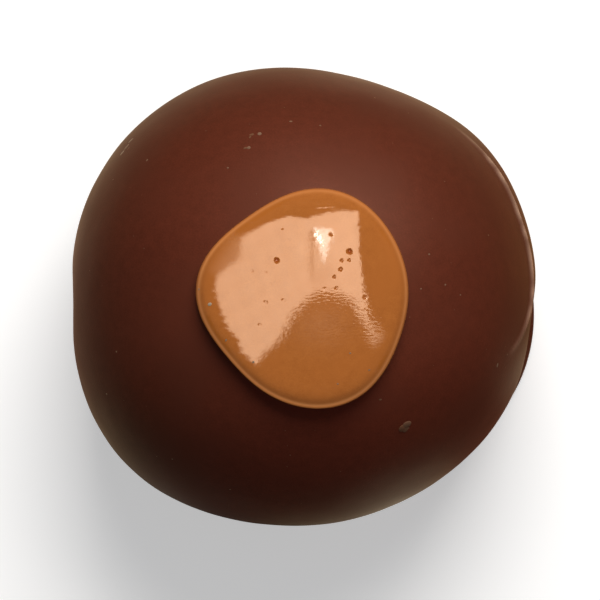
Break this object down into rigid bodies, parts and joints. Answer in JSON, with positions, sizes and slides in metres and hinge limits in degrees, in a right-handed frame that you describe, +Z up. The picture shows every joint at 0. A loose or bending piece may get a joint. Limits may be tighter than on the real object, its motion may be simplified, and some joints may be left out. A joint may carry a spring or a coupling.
{
  "type": "chocolate truffle",
  "caption": "Round hand-dipped chocolate truffle, flat underneath with a thin foot, and a glossy three-cornered caramel drop set on its crown",
  "frame": {"origin": "middle of the truffle's bounding box, on the flat base it rests on", "axes": "+Z up through the crown; +X towards the steep side with the broad foot, +Y a quarter turn on from it"},
  "size_m": [0.0296, 0.0292, 0.0226],
  "materials": {
    "dark_chocolate": "satin dark chocolate, finely grained",
    "caramel_coating": "glossy caramel coating"
  },
  "bodies": {
    "root": {"chocolate_coat": "dark_chocolate", "caramel_drop": "caramel_coating"}
  },
  "joints": []
}
